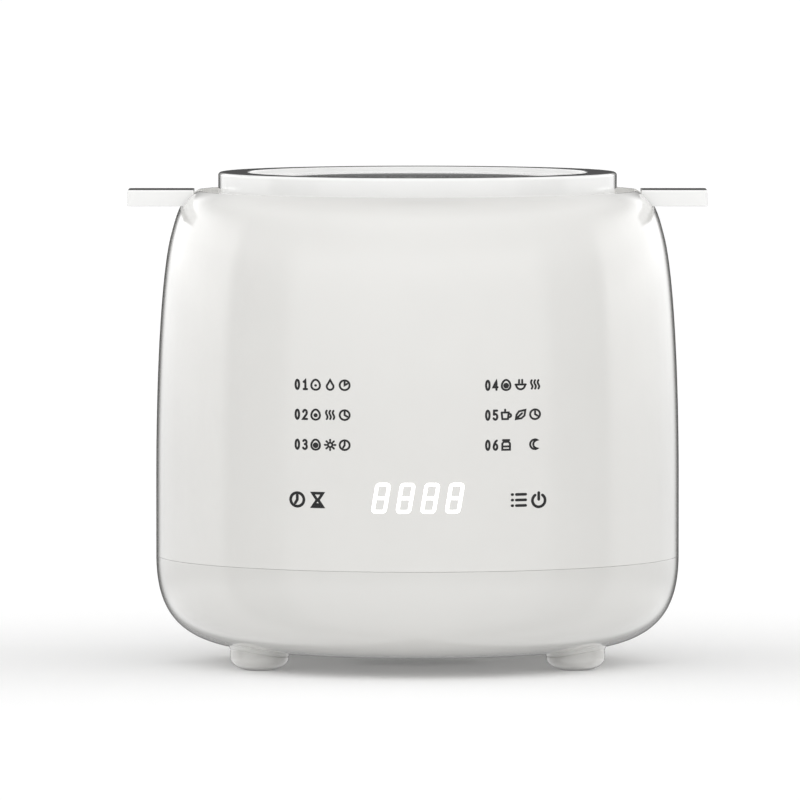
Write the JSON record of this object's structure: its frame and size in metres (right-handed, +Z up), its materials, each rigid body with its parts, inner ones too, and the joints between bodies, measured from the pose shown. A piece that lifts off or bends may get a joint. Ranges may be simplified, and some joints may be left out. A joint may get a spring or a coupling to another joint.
{
  "type": "egg cooker",
  "caption": "Round white countertop egg cooker with a lift-out steel pot, an egg rack, an eared lid and a touch display.",
  "frame": {"origin": "on the table, under the axis of the body, at the middle of the four feet", "axes": "+Z up along the axis of the body, -Y towards the user and the controls, +X towards the right ear of the lid"},
  "size_m": [0.1852, 0.1674, 0.1573],
  "materials": {
    "housing_plastic": "smooth gloss white moulding",
    "lid_plastic": "smooth gloss bright-white moulding",
    "silicone": "soft white silicone",
    "pad_rubber": "matte pale grey rubber",
    "pot_steel": "brushed stainless steel",
    "zinc_steel": "zinc plated",
    "sheet_aluminium": "rolled sheet",
    "cast_aluminium": "cast and faced",
    "tube_steel": "heat-tinted tube",
    "ceramic": "unglazed ceramic",
    "rack_plastic": "smooth white food-grade plastic",
    "phenolic": "dark brown phenolic",
    "circuit_board": "green solder mask",
    "black_plastic": "black moulded plastic",
    "lit_segments": "lit white epoxy",
    "diffuser": "milky light guide",
    "conductive_foam": "grey conductive foam",
    "connector_plastic": "ivory nylon",
    "relay_plastic": "blue moulded case",
    "transformer_core": "varnished laminations and tape",
    "capacitor_sleeve": "shrunk sleeve",
    "capacitor_yellow": "yellow moulded case",
    "terminal_green": "green nylon",
    "brass_pins": "plain brass",
    "wire_brown": "silicone sleeve",
    "wire_red": "silicone sleeve",
    "ribbon_grey": "flat grey cable"
  },
  "bodies": {
    "body": {"upper_housing": "housing_plastic", "base_housing": "housing_plastic", "feet": "housing_plastic", "foot_pads": "pad_rubber", "base_screws": "zinc_steel", "pot_well": "sheet_aluminium", "well_screws": "zinc_steel", "heating_plate": "cast_aluminium", "heater_tube": "tube_steel", "plate_spacers": "ceramic", "plate_screws": "zinc_steel", "sensor_bracket": "zinc_steel", "sensor_spring": "zinc_steel", "thermal_cutout": "phenolic", "cutout_clip": "zinc_steel", "bracket_screws": "zinc_steel", "control_board": "circuit_board", "microcontroller": "black_plastic", "board_socket": "connector_plastic", "buzzer": "black_plastic", "display_module": "black_plastic", "display_segments": "lit_segments", "light_guide": "diffuser", "touch_pads": "conductive_foam", "board_bracket": "connector_plastic", "board_screws": "zinc_steel", "power_board": "circuit_board", "transformer": "transformer_core", "relay": "relay_plastic", "bulk_capacitor": "capacitor_sleeve", "film_capacitor": "capacitor_yellow", "terminal_block": "terminal_green", "mains_inlet": "black_plastic", "inlet_pins": "brass_pins", "mains_leads": "wire_brown", "heater_leads": "wire_red", "ribbon_cable": "ribbon_grey"},
    "sensor": {"sensor_cap": "cast_aluminium"},
    "pot": {"inner_pot": "pot_steel"},
    "rack": {"egg_rack": "rack_plastic", "rack_handle": "rack_plastic"},
    "lid": {"lid": "lid_plastic", "lid_seal": "silicone"}
  },
  "joints": [
    {"name": "sensor_press", "type": "slide", "parent": "body", "child": "sensor", "axis": [0, 0, 1], "range_m": [-0.002, 0], "stiffness_N_per_m": 400, "springref_m": 0.004, "deforming": ["sensor_spring"]},
    {"name": "pot_lift", "type": "slide", "parent": "body", "child": "pot", "axis": [0, 0, 1], "range_m": [0, 0.11]},
    {"name": "rack_lift", "type": "slide", "parent": "pot", "child": "rack", "axis": [0, 0, 1], "range_m": [0, 0.1]},
    {"name": "lid_lift", "type": "slide", "parent": "rack", "child": "lid", "axis": [0, 0, 1], "range_m": [0, 0.04]}
  ]
}
